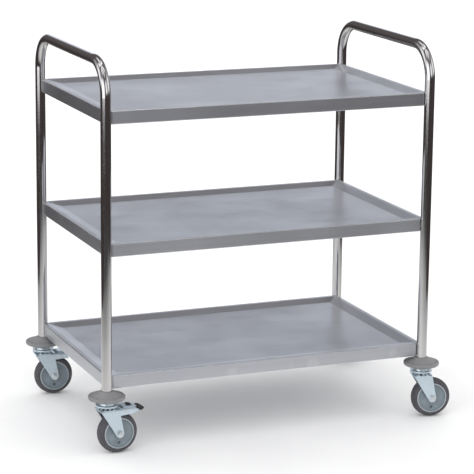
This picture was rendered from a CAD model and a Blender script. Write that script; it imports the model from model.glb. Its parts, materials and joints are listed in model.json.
"""A three-tray food service trolley: its looks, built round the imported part.

The frame is in metres, +Z up, floor at z = 0, front at -Y. Each piece is drawn in millimetres
in a frame of its own and then placed, and it keeps those own coordinates for its material.
"""
import json
import math

import bmesh
import bpy
from mathutils import Matrix, Vector


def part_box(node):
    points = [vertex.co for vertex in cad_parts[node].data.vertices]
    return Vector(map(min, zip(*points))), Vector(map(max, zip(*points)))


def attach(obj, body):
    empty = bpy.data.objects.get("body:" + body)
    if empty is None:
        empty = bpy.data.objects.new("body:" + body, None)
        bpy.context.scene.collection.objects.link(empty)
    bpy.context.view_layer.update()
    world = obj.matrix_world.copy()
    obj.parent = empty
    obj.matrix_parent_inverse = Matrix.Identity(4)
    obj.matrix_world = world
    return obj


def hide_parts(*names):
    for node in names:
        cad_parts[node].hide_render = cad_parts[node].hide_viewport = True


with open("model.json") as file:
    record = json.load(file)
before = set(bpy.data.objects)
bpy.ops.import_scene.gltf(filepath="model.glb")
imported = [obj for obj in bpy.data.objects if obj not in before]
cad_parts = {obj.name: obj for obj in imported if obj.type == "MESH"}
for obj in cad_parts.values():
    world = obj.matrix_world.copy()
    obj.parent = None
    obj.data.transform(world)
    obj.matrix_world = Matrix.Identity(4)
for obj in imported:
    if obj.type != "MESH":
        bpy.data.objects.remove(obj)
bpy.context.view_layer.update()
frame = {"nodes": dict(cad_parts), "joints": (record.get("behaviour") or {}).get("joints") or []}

scene = bpy.context.scene
MM = 0.001
MILLIMETRES = Matrix.Scale(MM, 4)
CORNERS = ("front_left", "front_right", "rear_left", "rear_right")
BRAKED = ("front_left", "rear_left")
TRAYS = ("top_tray", "middle_tray", "bottom_tray")
joints = {joint["name"]: joint for joint in frame["joints"]}


# ---- Outlines ----

def rounded(points, closed=True, steps=5):
    """A polyline whose corners (x, y, radius) are rounded by arcs."""
    out = []
    count = len(points)
    for i, (x, y, radius) in enumerate(points):
        here = Vector((x, y))
        if radius == 0 or (not closed and i in (0, count - 1)):
            out.append((x, y))
            continue
        back = Vector(points[i - 1][:2]) - here
        ahead = Vector(points[(i + 1) % count][:2]) - here
        half = back.angle(ahead) / 2
        reach = min(radius / math.tan(half), 0.49 * back.length, 0.49 * ahead.length)
        centre = here + (back.normalized() + ahead.normalized()).normalized() * reach / math.cos(half)
        start = here + back.normalized() * reach - centre
        end = here + ahead.normalized() * reach - centre
        turn = math.atan2(start.x * end.y - start.y * end.x, start.dot(end))
        for k in range(steps + 1):
            a = turn * k / steps
            out.append((centre.x + start.x * math.cos(a) - start.y * math.sin(a),
                        centre.y + start.x * math.sin(a) + start.y * math.cos(a)))
    return out


def arc(cx, cy, radius, start, end, steps):
    """Points on an arc, its angles in degrees."""
    angles = [math.radians(start + (end - start) * k / steps) for k in range(steps + 1)]
    return [(cx + radius * math.cos(a), cy + radius * math.sin(a)) for a in angles]


# ---- Shapes ----

class Shape:
    """Points and faces of one piece, in millimetres in the piece's own frame."""

    def __init__(self):
        self.points = []
        self.own = []
        self.faces = []
        self.move = Matrix.Identity(4)

    def add(self, points, faces, own=None):
        base = len(self.points)
        self.points += [self.move @ Vector(p) for p in points]
        self.own += [Vector(p) for p in (own or points)]
        self.faces += [[base + i for i in face] for face in faces]

    def grid(self, rows, wrap=True, loop=False, own=None):
        """Quads between rows of points; each row may wrap, and the last row may join the first."""
        width = len(rows[0])
        faces = []
        for i in range(len(rows) if loop else len(rows) - 1):
            a = i * width
            b = ((i + 1) % len(rows)) * width
            for j in range(width if wrap else width - 1):
                k = (j + 1) % width
                faces.append((a + j, a + k, b + k, b + j))
        flat = [p for row in rows for p in row]
        self.add(flat, faces, [p for row in own for p in row] if own else None)

    def lathe(self, profile, segments=96, loop=True):
        """Turns (radius, height) points about Z."""
        turns = [2 * math.pi * k / segments for k in range(segments)]
        self.grid([[(r * math.cos(a), r * math.sin(a), h) for a in turns] for r, h in profile],
                  loop=loop)

    def slab(self, outline, half):
        """A side view, x against z, extruded across Y to a half width."""
        count = len(outline)
        points = [(x, -half, z) for x, z in outline] + [(x, half, z) for x, z in outline]
        sides = [(i, (i + 1) % count, count + (i + 1) % count, count + i) for i in range(count)]
        caps = [tuple(reversed(range(count))), tuple(range(count, 2 * count))]
        self.add(points, sides + caps)

    def hexagon(self, apothem, base, top, bore=0.0):
        """A hexagonal prism along Z with chamfered corners on its top."""
        chamfer_r = 0.96 * apothem
        corner_r = apothem / math.cos(math.radians(30)) * 0.985
        turns = [math.radians(2.5 * k) for k in range(144)]
        radii = [min(corner_r, apothem / math.cos(a % math.radians(60) - math.radians(30)))
                 for a in turns]

        def ring(r, h):
            return [(r * math.cos(a), r * math.sin(a), h) for a in turns]

        fall = math.tan(math.radians(30))
        edge = [(r * math.cos(a), r * math.sin(a), top - max(0, r - chamfer_r) * fall)
                for r, a in zip(radii, turns)]
        foot = [(r * math.cos(a), r * math.sin(a), base) for r, a in zip(radii, turns)]
        skin = [ring(chamfer_r, top), edge, foot]
        if bore:
            self.grid([ring(bore, base), ring(bore, top)] + skin, loop=True)
        else:
            self.grid([ring(0, top)] + skin + [ring(0, base)])

    def thread(self, radius, base, top, pitch):
        """A threaded rod end along Z with a chamfered tip."""
        segments = 48
        count = max(8, int((top - base) / (pitch / 8)))
        rows = []
        for i in range(count + 1):
            h = base + (top - base) * i / count
            limit = min(radius, radius - 0.8 + (top - h))
            row = []
            for k in range(segments):
                phase = (h / pitch - k / segments) % 1
                r = min(limit, radius - 0.6 * (1 - abs(2 * phase - 1)))
                a = 2 * math.pi * k / segments
                row.append((r * math.cos(a), r * math.sin(a), h))
            rows.append(row)
        rows.append([(0, 0, top)] * segments)
        rows.insert(0, [(0, 0, base)] * segments)
        self.grid(rows)


def apply_modifiers(obj):
    """Turns an object's modifiers into its mesh."""
    graph = bpy.context.evaluated_depsgraph_get()
    mesh = bpy.data.meshes.new_from_object(obj.evaluated_get(graph), preserve_all_data_layers=True,
                                           depsgraph=graph)
    obj.modifiers.clear()
    obj.data = mesh


def mesh_object(name, shape, place, closed):
    """A shape's mesh at its place; its own coordinates are kept in metres for its material."""
    mesh = bpy.data.meshes.new(name)
    mesh.from_pydata([place @ p for p in shape.points], [], shape.faces)
    own = mesh.attributes.new("own", "FLOAT_VECTOR", "POINT")
    own.data.foreach_set("vector", [value * MM for p in shape.own for value in p])
    bm = bmesh.new()
    bm.from_mesh(mesh)
    bmesh.ops.remove_doubles(bm, verts=bm.verts, dist=2e-7)
    bmesh.ops.dissolve_degenerate(bm, edges=bm.edges, dist=1e-8)
    if closed:
        bmesh.ops.recalc_face_normals(bm, faces=bm.faces)
    bm.to_mesh(mesh)
    bm.free()
    obj = bpy.data.objects.new(name, mesh)
    scene.collection.objects.link(obj)
    return obj


def bevel_edges(obj, width):
    """Rounds an object's sharp edges to a width in millimetres."""
    edge = obj.modifiers.new("edges", "BEVEL")
    edge.width = width * MM
    edge.segments = 3
    edge.limit_method = "ANGLE"
    edge.angle_limit = math.radians(38)
    edge.use_clamp_overlap = True
    edge.miter_outer = "MITER_ARC"


def piece(name, shape, place, body, slot, replaced, thickness=0.0, bevel=0.0, cutter=None,
          welded=None, sharp=36.0):
    """Makes a piece: thickens, cuts and bevels its mesh, welds a second shape to it, shades it,
    and joins it to its body."""
    obj = mesh_object(name, shape, place, thickness == 0)
    if thickness:
        solid = obj.modifiers.new("thickness", "SOLIDIFY")
        solid.thickness = thickness * MM
        solid.offset = -1.0
        solid.use_even_offset = True
        solid.use_quality_normals = True
    if cutter:
        tool = mesh_object(name + "_cutter", cutter, place, True)
        cut = obj.modifiers.new("cut", "BOOLEAN")
        cut.operation = "DIFFERENCE"
        cut.solver = "EXACT"
        cut.object = tool
    if bevel:
        bevel_edges(obj, bevel)
    if obj.modifiers:
        apply_modifiers(obj)
    if cutter:
        bpy.data.objects.remove(tool)
    if welded:
        second = mesh_object(name + "_welded", welded, place, True)
        bevel_edges(second, bevel)
        apply_modifiers(second)
        with bpy.context.temp_override(active_object=obj, object=obj,
                                       selected_editable_objects=[obj, second]):
            bpy.ops.object.join()
    mesh = obj.data
    mesh.polygons.foreach_set("use_smooth", [True] * len(mesh.polygons))
    mesh.set_sharp_from_angle(angle=math.radians(sharp))
    weighted = obj.modifiers.new("shading", "WEIGHTED_NORMAL")
    weighted.keep_sharp = True
    weighted.weight = 80
    mesh.materials.clear()
    mesh.materials.append(MATERIALS[slot])
    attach(obj, body)
    if replaced:
        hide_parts(*replaced)
    return obj


# ---- Materials ----

def add(tree, kind, sockets=None, **settings):
    """Adds a shader node; a socket's value may be another node's output."""
    made = tree.nodes.new("ShaderNode" + kind)
    for key, value in settings.items():
        setattr(made, key, value)
    for key, value in (sockets or {}).items():
        if isinstance(value, bpy.types.NodeSocket):
            tree.links.new(value, made.inputs[key])
        else:
            made.inputs[key].default_value = value
    return made


class Surface:
    """One procedural material: helpers that add patterns, then a Principled shader."""

    def __init__(self, name, coordinates="own"):
        self.material = bpy.data.materials.new(name)
        self.material.use_nodes = True
        self.tree = self.material.node_tree
        self.tree.nodes.clear()
        if coordinates == "own":
            self.where = add(self.tree, "Attribute", attribute_name="own").outputs["Vector"]
        else:
            self.where = add(self.tree, "TexCoord").outputs["Object"]

    def noise(self, scale, stretch=(1, 1, 1), detail=3.0, rough=0.5, turn=0.0):
        placed = add(self.tree, "Mapping", {"Vector": self.where, "Scale": stretch,
                                            "Rotation": (0, 0, math.radians(turn))})
        made = add(self.tree, "TexNoise", {"Vector": placed.outputs["Vector"], "Scale": scale,
                                           "Detail": detail, "Roughness": rough})
        return made.outputs["Fac"]

    def cells(self, scale):
        made = add(self.tree, "TexVoronoi", {"Vector": self.where, "Scale": scale})
        return made.outputs["Distance"]

    def spread(self, value, low, high, to_low, to_high, smooth=False):
        made = add(self.tree, "MapRange", {"Value": value, "From Min": low, "From Max": high,
                                           "To Min": to_low, "To Max": to_high})
        if smooth:
            made.interpolation_type = "SMOOTHSTEP"
        return made.outputs["Result"]

    def math(self, operation, a, b=0.0):
        made = self.tree.nodes.new("ShaderNodeMath")
        made.operation = operation
        for socket, value in zip(made.inputs, (a, b)):
            if isinstance(value, bpy.types.NodeSocket):
                self.tree.links.new(value, socket)
            else:
                socket.default_value = value
        return made.outputs["Value"]

    def mix(self, factor, a, b):
        made = self.tree.nodes.new("ShaderNodeMix")
        made.data_type = "RGBA"
        for socket, value in ((made.inputs[0], factor), (made.inputs[6], a), (made.inputs[7], b)):
            if isinstance(value, bpy.types.NodeSocket):
                self.tree.links.new(value, socket)
            elif isinstance(value, tuple):
                socket.default_value = (*value, 1.0)
            else:
                socket.default_value = value
        return made.outputs[2]

    def bump(self, height, distance, strength=1.0, below=None):
        sockets = {"Height": height, "Distance": distance, "Strength": strength}
        if below:
            sockets["Normal"] = below
        return add(self.tree, "Bump", sockets).outputs["Normal"]

    def finish(self, sockets):
        shader = add(self.tree, "BsdfPrincipled", sockets)
        out = self.tree.nodes.new("ShaderNodeOutputMaterial")
        self.tree.links.new(shader.outputs["BSDF"], out.inputs["Surface"])
        return self.material


def polished_tube():
    """Drawn and polished tube: faint rings from the polishing belt, smears and a few scratches."""
    s = Surface("polished_tube")
    rings = s.noise(1.0, (60, 60, 1400), 2.0)
    drawn = s.noise(1.0, (500, 500, 4), 2.0)
    smears = s.noise(9.0, (1, 1, 0.7), 4.0, 0.6)
    scratches = s.noise(1.0, (90, 900, 260), 3.0, 0.6, turn=25)
    fine = s.spread(scratches, 0.68, 0.76, 0.0, 1.0)
    rough = s.math("ADD", s.spread(smears, 0.35, 0.7, 0.045, 0.10),
                   s.spread(rings, 0.3, 0.7, 0.0, 0.025))
    rough = s.math("ADD", rough, s.math("MULTIPLY", fine, 0.06))
    colour = s.mix(s.spread(smears, 0.3, 0.7, 0.0, 1.0), (0.70, 0.69, 0.68), (0.62, 0.61, 0.605))
    lines = s.bump(rings, 0.00002, 0.35)
    waves = s.bump(drawn, 0.00004, 0.25, lines)
    slow = s.bump(s.noise(14.0, (1, 1, 0.35), 1.0), 0.0006, 0.12, waves)
    return s.finish({"Base Color": colour, "Metallic": 1.0, "Roughness": rough,
                     "Anisotropic": 0.25, "Normal": slow})


def satin_sheet():
    """Ground satin sheet: its grain runs along the trays, and stands upright on the end skirts."""
    s = Surface("satin_sheet", "object")
    normal = add(s.tree, "NewGeometry").outputs["Normal"]
    axes = add(s.tree, "SeparateXYZ", {"Vector": normal})
    on_end = s.spread(s.math("ABSOLUTE", axes.outputs["X"]), 0.6, 0.8, 0.0, 1.0)
    flat_grain = s.noise(1.0, (7, 1300, 1300), 3.0, 0.6)
    end_grain = s.noise(1.0, (1300, 1300, 7), 3.0, 0.6)
    grain = s.mix(on_end, flat_grain, end_grain)
    broad = s.mix(on_end, s.noise(1.0, (2.5, 260, 260), 2.0), s.noise(1.0, (260, 260, 2.5), 2.0))
    cloud = s.noise(4.5, (1, 1.6, 1), 4.0, 0.55)
    smear = s.noise(16.0, (1, 1, 1), 5.0, 0.6)
    left = s.spread(s.noise(1.0, (14, 420, 14), 2.0, 0.5, turn=17), 0.70, 0.74, 0.0, 1.0)
    right = s.spread(s.noise(1.0, (9, 330, 9), 2.0, 0.5, turn=-31), 0.71, 0.75, 0.0, 1.0)
    scratch = s.math("MAXIMUM", left, right)
    rough = s.math("ADD", s.spread(grain, 0.3, 0.7, 0.33, 0.40),
                   s.spread(cloud, 0.35, 0.7, -0.02, 0.04))
    rough = s.math("ADD", rough, s.spread(smear, 0.5, 0.75, 0.0, 0.05))
    tone = s.mix(s.spread(broad, 0.3, 0.7, 0.0, 1.0), (0.575, 0.59, 0.625), (0.62, 0.635, 0.665))
    tone = s.mix(s.math("MULTIPLY", s.spread(cloud, 0.35, 0.7, 0.0, 1.0), 0.5), tone,
                 (0.56, 0.575, 0.61))
    tone = s.mix(s.math("MULTIPLY", scratch, 0.45), tone, (0.72, 0.73, 0.75))
    # The folds are rubbed brighter and smoother, in patches
    upright = s.math("ABSOLUTE", axes.outputs["Z"])
    fold = s.math("MULTIPLY", s.spread(upright, 0.12, 0.35, 0.0, 1.0),
                  s.spread(upright, 0.95, 0.86, 0.0, 1.0))
    rubbed = s.math("MULTIPLY", fold, s.spread(cloud, 0.3, 0.65, 0.35, 1.0))
    tone = s.mix(rubbed, tone, (0.90, 0.91, 0.93))
    rough = s.math("SUBTRACT", rough, s.math("MULTIPLY", rubbed, 0.14))
    waves = s.bump(s.noise(3.2, (1, 1, 1), 1.0), 0.003, 0.10)
    lines = s.bump(grain, 0.00001, 0.35, waves)
    cuts = s.bump(scratch, 0.00003, 0.4, lines)
    # The tangent runs across the grain, which is the way that ground metal spreads its highlights
    across = add(s.tree, "VectorMath", {0: normal, 1: (1.0, 0.0, 0.0)}, operation="CROSS_PRODUCT")
    spread_way = s.tree.nodes.new("ShaderNodeMix")
    spread_way.data_type = "VECTOR"
    s.tree.links.new(on_end, spread_way.inputs[0])
    s.tree.links.new(across.outputs[0], spread_way.inputs[4])
    spread_way.inputs[5].default_value = (0.0, 1.0, 0.0)
    return s.finish({"Base Color": tone, "Metallic": 1.0, "Roughness": rough, "Anisotropic": 0.45,
                     "Tangent": spread_way.outputs[1], "Normal": cuts})


def zinc_pressing():
    """Bright zinc plate on pressed steel, with passivation clouds and a pressed-metal texture."""
    s = Surface("zinc_pressing")
    cloud = s.noise(55.0, (1, 1, 1), 4.0, 0.6)
    spangle = s.cells(420.0)
    pits = s.noise(900.0, (1, 1, 1), 2.0)
    tint = s.mix(s.spread(cloud, 0.35, 0.68, 0.0, 1.0), (0.65, 0.77, 0.84), (0.73, 0.82, 0.87))
    tint = s.mix(s.spread(spangle, 0.0, 0.8, 0.0, 0.35), tint, (0.58, 0.67, 0.76))
    rough = s.math("ADD", s.spread(cloud, 0.3, 0.7, 0.25, 0.38), s.spread(pits, 0.3, 0.7, 0.0, 0.08))
    texture = s.bump(pits, 0.00004, 0.5)
    slow = s.bump(s.noise(70.0, (1, 1, 1), 1.0), 0.0004, 0.25, texture)
    return s.finish({"Base Color": tint, "Metallic": 1.0, "Roughness": rough, "Normal": slow})


def plated_fixings(coordinates):
    """Zinc plated screws, nuts and pins."""
    s = Surface("plated_fixings_" + coordinates, coordinates)
    cloud = s.noise(120.0, (1, 1, 1), 3.0, 0.6)
    pits = s.noise(1600.0, (1, 1, 1), 2.0)
    tint = s.mix(s.spread(cloud, 0.35, 0.68, 0.0, 1.0), (0.62, 0.66, 0.68), (0.74, 0.77, 0.78))
    rough = s.math("ADD", s.spread(cloud, 0.3, 0.7, 0.20, 0.32), s.spread(pits, 0.3, 0.7, 0.0, 0.10))
    return s.finish({"Base Color": tint, "Metallic": 1.0, "Roughness": rough,
                     "Normal": s.bump(pits, 0.00003, 0.5)})


def moulded(name, dark, light, rough_low, rough_high, grit, scuff, lip=None):
    """Moulded rubber or plastic: a fine matt texture, colour drift, lighter scuffs, and a lip
    that is rubbed pale outside a radius."""
    s = Surface(name)
    cloud = s.noise(38.0, (1, 1, 1), 4.0, 0.6)
    grain = s.noise(grit, (1, 1, 1), 2.0, 0.6)
    rubbed = s.spread(s.noise(26.0, (1, 1, 3.5), 6.0, 0.7), 0.56, 0.72, 0.0, 1.0, smooth=True)
    tint = s.mix(s.spread(cloud, 0.32, 0.68, 0.0, 1.0), dark, light)
    worn = tuple(min(1.0, c * 2.0 + 0.03) for c in light)
    tint = s.mix(s.math("MULTIPLY", rubbed, scuff), tint, worn)
    if lip:
        flat = add(s.tree, "VectorMath", {0: s.where, 1: (1.0, 1.0, 0.0)}, operation="MULTIPLY")
        radius = add(s.tree, "VectorMath", {0: flat.outputs[0]}, operation="LENGTH").outputs["Value"]
        patchy = s.math("MULTIPLY", s.spread(radius, lip, lip + 0.0006, 0.0, 1.0),
                        s.spread(cloud, 0.25, 0.6, 0.6, 1.0))
        tint = s.mix(patchy, tint, (0.36, 0.39, 0.42))
    rough = s.math("ADD", s.spread(grain, 0.3, 0.7, rough_low, rough_high),
                   s.math("MULTIPLY", rubbed, 0.10))
    texture = s.bump(grain, 0.00008, 0.6)
    slow = s.bump(s.noise(90.0, (1, 1, 1), 2.0), 0.0003, 0.15, texture)
    return s.finish({"Base Color": tint, "Metallic": 0.0, "Roughness": rough, "Normal": slow})


MATERIALS = {
    "polished_tube": polished_tube(),
    "satin_sheet": satin_sheet(),
    "zinc_pressing": zinc_pressing(),
    "plated_fixings": plated_fixings("own"),
    "grey_bumper": moulded("grey_bumper", (0.178, 0.178, 0.184), (0.222, 0.222, 0.228),
                           0.50, 0.66, 1500.0, 0.25),
    "grey_plastic": moulded("grey_plastic", (0.150, 0.185, 0.21), (0.19, 0.23, 0.255),
                            0.34, 0.50, 1900.0, 0.15, lip=0.0347),
    "dark_tyre": moulded("dark_tyre", (0.050, 0.048, 0.055), (0.076, 0.073, 0.084),
                         0.52, 0.68, 1300.0, 0.30),
    "black_pad": moulded("black_pad", (0.010, 0.010, 0.012), (0.018, 0.018, 0.020),
                         0.38, 0.52, 1700.0, 0.20),
}
FIXINGS = plated_fixings("object")


# ---- Places ----

def box_mm(node):
    """A CAD node's lowest and highest corner in millimetres."""
    low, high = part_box(node)
    return low / MM, high / MM


class Corner:
    """A corner of the trolley: its post axis, and its castor turned to the rest angle."""

    def __init__(self, name):
        swivel = Vector(joints[name + "_swivel"]["pos_m"])
        axle = Vector(joints[name + "_wheel_spin"]["pos_m"])
        trail = Vector((axle.x - swivel.x, axle.y - swivel.y))
        self.name = name
        self.trail = trail.length / MM
        self.axle_z = axle.z / MM
        self.post = Matrix.Translation((swivel.x, swivel.y, 0)) @ MILLIMETRES
        turned = Matrix.Rotation(math.atan2(trail.y, trail.x), 4, "Z")
        self.castor = Matrix.Translation((swivel.x, swivel.y, 0)) @ turned @ MILLIMETRES
        lay_down = Matrix.Rotation(math.radians(-90), 4, "X")
        self.axle = self.castor @ Matrix.Translation((self.trail, 0, self.axle_z)) @ lay_down


# ---- End frames ----

BEND_R = 80.0
WALL = 1.5
BEND_STEPS = 28
TUBE_SIDES = 80


def tube_frame(side):
    """A bent tube with its bore, swept up one post, over the handle and down the other post."""
    node = side + "_end_frame"
    low, high = box_mm(node)
    outer = (high.x - low.x) / 2
    x = (high.x + low.x) / 2
    post_y = high.y - outer
    bar_z = high.z - outer
    bend_y = post_y - BEND_R
    bend_z = bar_z - BEND_R
    line = [(-post_y, low.z + (bend_z - low.z) * k / 6) for k in range(6)]
    line += arc(-bend_y, bend_z, BEND_R, 180, 90, BEND_STEPS)
    line += [(-bend_y + 2 * bend_y * k / 4, bar_z) for k in range(1, 4)]
    line += arc(bend_y, bend_z, BEND_R, 90, 0, BEND_STEPS)
    line += [(post_y, bend_z - (bend_z - low.z) * k / 6) for k in range(1, 7)]
    turns = [2 * math.pi * k / TUBE_SIDES for k in range(TUBE_SIDES)]
    run = 0.0
    rings = []
    for i, here in enumerate(line):
        before = Vector(line[max(i - 1, 0)])
        after = Vector(line[min(i + 1, len(line) - 1)])
        run += (Vector(here) - before).length
        ahead = (after - before).normalized()
        if i in (0, len(line) - 1):
            ahead = Vector((0, 1 if i == 0 else -1))
        across = Vector((ahead.y, -ahead.x))
        rings.append((Vector(here), across, run))
    rows, own = [], []
    for radius, order in ((outer, rings), (outer - WALL, list(reversed(rings)))):
        for here, across, s in order:
            rows.append([(x + radius * math.cos(a), here.x + across.x * radius * math.sin(a),
                          here.y + across.y * radius * math.sin(a)) for a in turns])
            own.append([(radius * math.cos(a), radius * math.sin(a), s) for a in turns])
    shape = Shape()
    shape.grid(rows, loop=True, own=own)
    piece(side + "_tube_frame", shape, MILLIMETRES, "frame", "polished_tube", [node])


# ---- Trays ----

SHEET = 1.2
RIM_W = 12.0
SLOPE_W = 28.0
RECESS = 7.0
HEM_W = 8.0
NOTCH_R = 12.7
NOTCH_FILLET = 8.0
FILLET_STEPS = 8
NOTCH_STEPS = 14


def notch_curve(inset):
    """A corner of the plan at an inset, as distances in from the two edges, along both of them."""
    along = math.sqrt((NOTCH_R + NOTCH_FILLET) ** 2 - NOTCH_FILLET ** 2)
    lean = math.degrees(math.atan2(NOTCH_FILLET, along))
    fillet = max(NOTCH_FILLET - inset, 0.0)
    first = arc(along, NOTCH_FILLET, fillet, -90, -180 + lean, FILLET_STEPS)
    first[-1:] = []
    notch = arc(0, 0, NOTCH_R + inset, lean, 90 - lean, NOTCH_STEPS)
    second = [(v, u) for u, v in reversed(first)]
    return first + notch + second


def corner_curve(inset, radius):
    """The same count of points round a plain rounded corner."""
    count = len(notch_curve(0.0)) - 1
    middle = inset + radius
    return arc(middle, middle, radius, -90, -180, count)


def plan_loop(curve, half_x, half_y, z):
    """Carries a corner's curve round all four corners, counter-clockwise."""
    loop = []
    for sx, sy in ((-1, -1), (1, -1), (1, 1), (-1, 1)):
        points = [(sx * (half_x - u), sy * (half_y - v)) for u, v in curve]
        if sx * sy > 0:
            points.reverse()
        loop += [(x, y, z) for x, y in points]
    return loop


def shifted(line, distance):
    """A section line moved sideways, to its right, by the sheet's thickness."""
    out = []
    for i, here in enumerate(line):
        before = Vector(line[max(i - 1, 0)])
        after = Vector(line[min(i + 1, len(line) - 1)])
        here = Vector(here)
        one = (here - before).normalized() if i else (after - here).normalized()
        two = (after - here).normalized() if i < len(line) - 1 else one
        middle = (one + two).normalized()
        reach = distance / max(middle.dot(one), 0.5)
        out.append((here.x + middle.y * reach, here.y - middle.x * reach))
    return out


def tray_sheet(node):
    """A pressed tray: the section from hem to deck, carried round a plan with notched corners."""
    low, high = box_mm(node)
    half_x = (high.x - low.x) / 2
    half_y = (high.y - low.y) / 2
    drop = low.z - high.z
    skirt = [(HEM_W, drop)] + arc(1.9, drop + 1.9, 1.9, -90, -180, 5)
    skirt += arc(2.2, -2.2, 2.2, 180, 90, 6) + [(6.0, 0.0)]
    dish = rounded([(7.0, 0.0, 0), (RIM_W, 0.0, 5.0), (RIM_W + SLOPE_W, -RECESS, 7.0),
                    (RIM_W + SLOPE_W + 12, -RECESS, 0)], closed=False, steps=4)[1:-1]
    outside = skirt + dish
    shape = Shape()
    skins = []
    for line in (outside, shifted(outside, SHEET)):
        rows = []
        for i, (inset, z) in enumerate(line):
            share = min(1.0, max(0.0, (inset - RIM_W) / SLOPE_W))
            curve = notch_curve(inset) if i < len(skirt) else corner_curve(inset, 3.0 + 4.0 * share)
            rows.append(plan_loop(curve, half_x, half_y, z))
        skins.append(rows)
    rows = skins[0][::-1] + skins[1]
    shape.grid(rows)
    width = len(rows[0])
    shape.faces.append(list(range(width)))
    shape.faces.append([(len(rows) - 1) * width + j for j in range(width)])
    centre = Matrix.Translation(Vector(((low.x + high.x) / 2, (low.y + high.y) / 2, high.z)) * MM)
    piece(node + "_sheet", shape, centre @ MILLIMETRES, "frame", "satin_sheet", [node], sharp=50.0)


# ---- Bumpers and swivel heads ----

def bumper(corner):
    """A domed disc with a raised rim and a groove inside it, and the post's socket on top."""
    low, high = box_mm(corner.name + "_bumper")
    edge = (high.x - low.x) / 2
    profile = rounded([
        (5.3, low.z, 0.3), (18, low.z, 0.8), (20, low.z + 7, 1.2), (edge, low.z + 7, 4.95),
        (edge, low.z + 17, 4.95), (39.2, low.z + 17.0, 0.4), (38.7, low.z + 16.3, 0.6),
        (36.5, low.z + 16.4, 0.6), (35.6, low.z + 18.4, 0.6), (26, low.z + 22.3, 16),
        (15.6, high.z, 1.6), (12.75, high.z, 0.5), (12.75, low.z + 20.1, 0.2),
        (5.3, low.z + 20.1, 0.3)], steps=6)
    shape = Shape()
    shape.lathe(profile, 112)
    piece(corner.name + "_bumper_disc", shape, corner.post, "frame", "grey_bumper",
          [corner.name + "_bumper"])


def swivel_race(corner):
    """The upper race of a castor, with the balls' track pressed into its underside."""
    low, high = box_mm(corner.name + "_top_race")
    edge = (high.x - low.x) / 2
    shoulder_z = 121.0
    ball_z = 113.8
    profile = rounded([
        (5.3, low.z, 0.2), (14, low.z, 1.0), (16, low.z + 2.5, 0.8), (edge, low.z + 2.5, 0.7),
        (edge, low.z + 6.8, 1.2), (edge - 1.4, shoulder_z, 0.8), (19.5, shoulder_z, 1.4),
        (17.5, high.z, 1.0), (5.3, high.z, 0.2)], steps=5)
    track = [(x, z) for x, z in arc(20.5, ball_z, 2.55, 142, 38, 8) if z > low.z + 2.5]
    split = [i for i, (r, z) in enumerate(profile) if r > 18][0]
    profile[split:split] = track
    shape = Shape()
    shape.lathe(profile, 96)
    piece(corner.name + "_swivel_race", shape, corner.post, "frame", "zinc_pressing",
          [corner.name + "_top_race"])


# ---- Forks ----

CROWN_Z = 112.0
CROWN_R = 25.0
CHEEK_OUT = 21.5
PLATE = 2.5
FOLD_R = 5.0
BOSS_R = 10.0
LEG_X = 24.0
TAIL_CUT_X = 28.0


def crossings(outline, z):
    """Lowest and highest x where a closed outline of (x, z) points meets a height."""
    found = []
    for i, (x1, z1) in enumerate(outline):
        x2, z2 = outline[(i + 1) % len(outline)]
        if min(z1, z2) <= z <= max(z1, z2):
            found.append(x1 if z1 == z2 else x1 + (x2 - x1) * (z - z1) / (z2 - z1))
            if z1 == z2:
                found.append(x2)
    return (min(found), max(found)) if found else None


def tangent(x, z, cx, cz, radius, side):
    """Where a line from (x, z) touches a circle, on the side given by a sign."""
    away = math.hypot(x - cx, z - cz)
    a = math.atan2(z - cz, x - cx) + side * math.acos(radius / away)
    return cx + radius * math.cos(a), cz + radius * math.sin(a)


def cheek_outlines(corner, braked):
    """Side views, x against z, that together make one cheek of the fork."""
    tx, tz = corner.trail, corner.axle_z
    front = tangent(-LEG_X, CROWN_Z, tx, tz, BOSS_R, 1)
    rear = tangent(LEG_X, CROWN_Z, tx, tz, BOSS_R, -1)
    start = math.degrees(math.atan2(front[1] - tz, front[0] - tx))
    end = math.degrees(math.atan2(rear[1] - tz, rear[0] - tx))
    boss = arc(tx, tz, BOSS_R, start, end if end > start else end + 360, 32)
    outlines = [[(-LEG_X, CROWN_Z)] + boss + [(LEG_X, CROWN_Z)]]
    if braked:
        outlines.append(rounded([(10, CROWN_Z, 0), (60, CROWN_Z, 6), (74, 106.5, 2), (73, 102, 2),
                                 (56, 97, 8), (34, 95, 6), (10, 95, 0)]))
    return outlines


def folded_sheet(shape, half, top, fold, heights, span, top_span, stop=90.0):
    """A bent plate, a channel along X: span(z) gives a side's x range, top_span the top's."""
    columns = 14
    path = [(-half, z, *span(z)) for z in heights]
    for k in range(1, 9):
        a = math.radians(90 * k / 8)
        y, z = -(half - fold) - fold * math.cos(a), top - fold + fold * math.sin(a)
        bounds = span(z) if math.degrees(a) <= stop else top_span
        path.append((y, z, *bounds))
    path += [(-y, z, low, high) for y, z, low, high in reversed(path)]
    rows = [[(low + (high - low) * c / columns, y, z) for c in range(columns + 1)]
            for y, z, low, high in path]
    shape.grid(rows, wrap=False)


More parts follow.
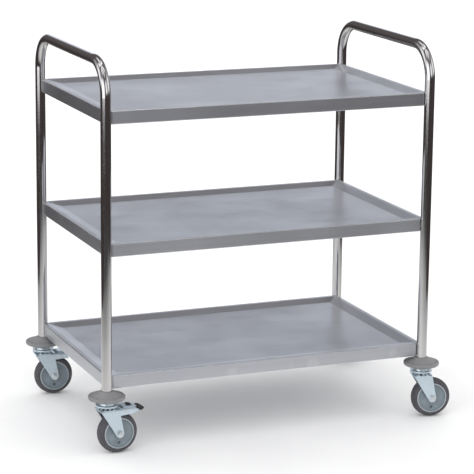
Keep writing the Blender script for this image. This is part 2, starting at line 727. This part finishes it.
def fork(corner, braked):
    """A fork bent from one plate, its round crown welded on; a braked one has a tail."""
    outlines = cheek_outlines(corner, braked)

    def span(z):
        z = min(max(z, corner.axle_z - BOSS_R), CROWN_Z - 0.01)
        found = [s for s in (crossings(outline, z) for outline in outlines) if s]
        return min(a for a, b in found), max(b for a, b in found)

    foot = corner.axle_z - BOSS_R
    top = CROWN_Z - 0.1
    heights = [foot + BOSS_R * (1 - math.cos(math.radians(7.5 * k))) for k in range(1, 18)]
    heights[:0] = [foot + 0.004, foot + 0.03]
    if braked:
        heights += [75, 85, 94, 94.9, 95.3, 95.8, 96.4, 97, 97.6, 98.4, 99.4, 100.4, 101.2, 102,
                    103.5, 105]
    else:
        heights += [75, 85, 95, 101]
    heights.append(top - FOLD_R)
    shape = Shape()
    folded_sheet(shape, CHEEK_OUT, top, FOLD_R, heights, span,
                 (-LEG_X, TAIL_CUT_X if braked else LEG_X), 58.0 if braked else 90.0)
    crown = Shape()
    crown.lathe(rounded([(5.06, CROWN_Z - PLATE, 0.2), (CROWN_R, CROWN_Z - PLATE, 0.5),
                         (CROWN_R, CROWN_Z, 0.7), (5.06, CROWN_Z, 0.2)]), 96)
    piece(corner.name + "_fork_pressing", shape, corner.castor, corner.name + "_castor",
          "zinc_pressing", [corner.name + "_fork"], thickness=PLATE, bevel=0.45, welded=crown)


# ---- Axles and wheels ----

def axle_fixings(corner):
    """The axle bolt, its head at +Z of the axle's frame, and the flanged nut on the other side."""
    body = corner.name + "_castor"
    head = CHEEK_OUT + 0.05
    over = Matrix.Rotation(math.pi, 4, "X")
    bolt = Shape()
    bolt.hexagon(6.5, head, head + 5.15)
    bolt.lathe([(0, -head - 5.5), (4, -head - 5.5), (4, head + 1), (0, head + 1)], 48, loop=False)
    bolt.move = over
    bolt.thread(4.0, head + 5.4, 31.0, 1.25)
    piece(corner.name + "_wheel_bolt", bolt, corner.axle, body, "plated_fixings",
          [corner.name + "_axle_bolt"])
    nut = Shape()
    nut.move = over
    nut.hexagon(6.5, head + 0.6, head + 6.75, bore=4.05)
    nut.lathe(rounded([(4.05, head, 0.1), (8.2, head, 0.3), (8.2, head + 0.7, 0.3),
                       (7.2, head + 1.35, 0.4), (4.05, head + 1.35, 0.1)]), 72)
    piece(corner.name + "_wheel_nut", nut, corner.axle, body, "plated_fixings",
          [corner.name + "_axle_nut"])


def wheel(corner):
    """The wheel's centre with a moulded dimple on each side, and the crowned tyre on it."""
    body = corner.name + "_wheel"
    low, high = box_mm(corner.name + "_tyre")
    outer = (high.z - low.z) / 2
    half_w = 16.0
    half = [(6.06, 18, 0.3), (12, 18, 0.9), (13.2, 11.0, 2.5), (33.2, 12.9, 2.0), (35, 17, 0.8),
            (37.2, 17, 0.9), (38, 15.6, 0.5)]
    profile = rounded([(r, -h, f) for r, h, f in half] + [(r, h, f) for r, h, f in reversed(half)],
                      steps=5)
    moulding = Shape()
    moulding.lathe(profile, 120)
    dimples = Shape()
    for side in (-1, 1):
        dimples.move = Matrix.Translation((0, 24, 0)) @ Matrix.Scale(side, 4, (0, 0, 1))
        dimples.lathe([(0, 7.1), (2.8, 7.1), (3.6, 7.4), (4.0, 8.2), (4.0, 15), (0, 15)], 40,
                      loop=False)
    piece(corner.name + "_hub_moulding", moulding, corner.axle, body, "grey_plastic",
          [corner.name + "_wheel_centre"], cutter=dimples)
    crown_r = 22.0
    crown_x = outer - crown_r
    lean = math.degrees(math.asin(half_w / crown_r))
    tread = arc(crown_x, 0, crown_r, -lean, lean, 26)
    side_r = tread[0][0]
    profile = [(38.05, -half_w + 0.3), (38.35, -half_w), (side_r - 1.0, -half_w)] + tread[1:-1]
    profile += [(side_r - 1.0, half_w), (38.35, half_w), (38.05, half_w - 0.3)]
    ring = Shape()
    ring.lathe(profile, 144)
    piece(corner.name + "_tyre_ring", ring, corner.axle, body, "dark_tyre",
          [corner.name + "_tyre"], sharp=42)


# ---- Brakes ----

def brake(corner):
    """The brake lever with its arm and its inner leg, the foot pad and the release button."""
    body = corner.name + "_brake"
    ear = [(35, 114), (66, 114), (66, 108), (58, 102), (50, 100), (38, 100), (35, 104)]

    def span(z):
        return crossings(ear, min(max(z, 100.0), 113.9))

    lever = Shape()
    folded_sheet(lever, 17.2, 115.0, 3.0,
                 [100.02, 100.3, 100.8, 101.4, 102, 103, 104, 106, 108, 110, 112], span, (33.2, 66))
    arm = Shape()
    arm.slab(rounded([(63.5, 112.95, 0), (66, 111.9, 3), (82, 103.6, 0.5), (82.9, 105.5, 0.5),
                      (66.6, 114.5, 4), (63.5, 114.95, 0)]), 6.5)
    arm.slab(rounded([(57, 113.5, 0), (60.5, 91.8, 0.6), (63.5, 90.9, 0.6), (62, 113.5, 0)]), 11)
    piece(corner.name + "_brake_plate", lever, corner.castor, body, "zinc_pressing",
          [corner.name + "_brake_lever"], thickness=2.0, bevel=0.35, welded=arm)
    pad = Shape()
    pad.slab(rounded([(73.5, 106.2, 1.5), (75.5, 112.1, 1.6), (84, 111.4, 3), (93.5, 105, 1.8),
                      (92.5, 101.5, 1.2), (86, 98.5, 2), (80, 99, 2)]), 9.5)
    piece(corner.name + "_foot_pad", pad, corner.castor, body, "black_pad",
          [corner.name + "_pedal_pad"], bevel=1.4)
    tab = Shape()
    tab.slab(rounded([(50.5, 115.05, 0.3), (60, 115.05, 0.3), (59.5, 116.8, 0.6),
                      (53.5, 118.6, 1.2), (50, 118, 0.6)]), 7)
    piece(corner.name + "_release_button", tab, corner.castor, body, "black_pad",
          [corner.name + "_release_tab"], bevel=0.8)


for side in ("left", "right"):
    tube_frame(side)
for tray in TRAYS:
    tray_sheet(tray)
for name in CORNERS:
    corner = Corner(name)
    bumper(corner)
    swivel_race(corner)
    fork(corner, name in BRAKED)
    axle_fixings(corner)
    wheel(corner)
    if name in BRAKED:
        brake(corner)

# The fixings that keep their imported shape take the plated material
for obj in frame["nodes"].values():
    if not obj.hide_render:
        for place in obj.material_slots:
            place.material = FIXINGS


# ---- Camera ----

AZIMUTH = math.radians(-22.17)
ELEVATION = math.radians(13.272)
ROLL = math.radians(0.569)
DISTANCE = 5.42
TARGET = Vector((-0.0125, 0.0073, 0.4235))

back = Vector((math.sin(AZIMUTH) * math.cos(ELEVATION), -math.cos(AZIMUTH) * math.cos(ELEVATION),
               math.sin(ELEVATION)))
level = Vector((math.cos(AZIMUTH), math.sin(AZIMUTH), 0))
above = back.cross(level)
right = level * math.cos(ROLL) + above * math.sin(ROLL)
up = above * math.cos(ROLL) - level * math.sin(ROLL)
camera = bpy.data.objects.new("camera", bpy.data.cameras.new("camera"))
scene.collection.objects.link(camera)
camera.matrix_world = Matrix.Translation(TARGET + back * DISTANCE) @ Matrix(
    (right, up, back)).transposed().to_4x4()
camera.data.sensor_width = 36.0
camera.data.lens = 162.94
camera.data.shift_x = 0.0134
camera.data.shift_y = 0.0124
camera.data.clip_end = 100.0
scene.camera = camera


# ---- Studio ----

def studio_floor():
    """A pale paper floor under the trolley and behind it."""
    away = Vector((-back.x, -back.y, 0)).normalized()
    across = Vector((away.y, -away.x, 0))
    mesh = bpy.data.meshes.new("floor")
    plan = ((-2.8, -1.5), (-2.8, 1.5), (12, 2.2), (12, -2.2))
    corners = [away * ahead + across * aside for ahead, aside in plan]
    mesh.from_pydata(corners, [], [(0, 1, 2, 3)])
    s = Surface("pale_floor", "object")
    cloud = s.noise(3.0, (1, 1, 1), 4.0)
    tint = s.mix(s.spread(cloud, 0.3, 0.7, 0.0, 1.0), (0.86, 0.86, 0.865), (0.90, 0.90, 0.90))
    # Polished parts see the floor fade out with distance
    flat = add(s.tree, "VectorMath", {0: s.where, 1: (1.0, 1.0, 0.0)}, operation="MULTIPLY")
    distance = add(s.tree, "VectorMath", {0: flat.outputs[0]}, operation="LENGTH").outputs["Value"]
    faded = s.spread(distance, 0.35, 2.2, 0.0, 0.96)
    mirrored = add(s.tree, "LightPath").outputs["Is Glossy Ray"]
    tint = s.mix(s.math("MULTIPLY", mirrored, faded), tint, (0.0, 0.0, 0.0))
    grain = s.noise(600.0, (1, 1, 1), 2.0)
    mesh.materials.append(s.finish({"Base Color": tint, "Roughness": 0.85,
                                    "Specular IOR Level": 0.2, "Normal": s.bump(grain, 0.0002, 0.3)}))
    floor = bpy.data.objects.new("floor", mesh)
    scene.collection.objects.link(floor)


def studio_world():
    """White to the camera. Metals see a bright backdrop ahead of the camera, in a room that is
    dark low down, with pale panels on its walls and ceiling and one window."""
    world = bpy.data.worlds.new("studio")
    world.use_nodes = True
    scene.world = world
    tree = world.node_tree
    tree.nodes.clear()
    where = add(tree, "TexCoord").outputs["Generated"]
    away = Vector((-back.x, -back.y, 0)).normalized()

    def spread(value, low, high, to_low=0.0, to_high=1.0):
        made = add(tree, "MapRange", {"Value": value, "From Min": low, "From Max": high,
                                      "To Min": to_low, "To Max": to_high})
        made.interpolation_type = "SMOOTHSTEP"
        return made.outputs["Result"]

    def combined(operation, a, b):
        return add(tree, "Math", {0: a, 1: b}, operation=operation).outputs[0]

    def along(direction):
        return add(tree, "VectorMath", {0: where, 1: direction},
                   operation="DOT_PRODUCT").outputs["Value"]

    def mix(factor, a, b):
        made = tree.nodes.new("ShaderNodeMix")
        made.data_type = "RGBA"
        tree.links.new(factor, made.inputs[0])
        for socket, value in ((made.inputs[6], a), (made.inputs[7], b)):
            if isinstance(value, bpy.types.NodeSocket):
                tree.links.new(value, socket)
            else:
                socket.default_value = (*value, 1.0)
        return made.outputs[2]

    ahead = along(away)
    aside = along((away.y, -away.x, 0))
    height = add(tree, "SeparateXYZ", {"Vector": where}).outputs["Z"]
    room = mix(spread(height, -0.25, 0.25), (0.055, 0.044, 0.044), (0.12, 0.106, 0.108))
    # Angles go round from straight ahead, to the right when positive
    turned = combined("ARCTAN2", aside, ahead)
    waves = combined("COSINE", combined("MULTIPLY", turned, 6.0), 0.0)
    panels = spread(waves, 0.3, -0.5)
    # The walls glow at the sides and the back, less so behind the camera
    around = combined("MAXIMUM", spread(turned, 0.6, 0.9), spread(turned, -0.9, -1.15))
    behind = spread(combined("ABSOLUTE", turned, 0.0), 2.8, 3.0, 1.0, 0.2)
    band = combined("MULTIPLY", spread(height, -0.04, 0.2), spread(height, 0.75, 0.5))
    walls = combined("MULTIPLY", combined("MULTIPLY", around, behind), band)
    room = mix(walls, room, mix(panels, (0.45, 0.44, 0.45), (1.3, 1.32, 1.38)))
    ceiling = spread(height, 0.7, 0.97)
    room = mix(ceiling, room, mix(panels, (0.28, 0.27, 0.28), (1.7, 1.7, 1.75)))
    # The window is to the left of the camera and behind it
    window = combined("MULTIPLY", spread(turned, -3.0, -2.9), spread(turned, -1.93, -2.03))
    window = combined("MULTIPLY", window, spread(height, -0.17, -0.15))
    window = combined("MULTIPLY", window, spread(height, 0.5, 0.4))
    room = mix(window, room, (1.7, 1.7, 1.75))
    backdrop = combined("MULTIPLY", spread(ahead, 0.84, 0.97), spread(height, 0.55, 0.26))
    lit = mix(backdrop, room, (1.13, 1.18, 1.29))
    mirrored = add(tree, "LightPath").outputs["Is Glossy Ray"]
    colour = mix(mirrored, (1.0, 1.0, 1.0), lit)
    shade = add(tree, "Background", {"Color": colour, "Strength": 1.0})
    out = tree.nodes.new("ShaderNodeOutputWorld")
    tree.links.new(shade.outputs[0], out.inputs["Surface"])


def daylight(name, at, power, spread):
    """An even, very soft light from one side, which polished parts don't show."""
    light = bpy.data.lights.new(name, "SUN")
    light.energy = power
    light.angle = math.radians(spread)
    obj = bpy.data.objects.new(name, light)
    scene.collection.objects.link(obj)
    obj.rotation_euler = (-Vector(at)).to_track_quat("-Z", "Y").to_euler()
    obj.visible_glossy = False


studio_floor()
studio_world()
daylight("ceiling", (-0.15, 0.1, 1.0), 0.9, 160)
daylight("front", (-0.6, -1.0, 0.8), 0.5, 60)
scene.view_settings.view_transform = "Standard"
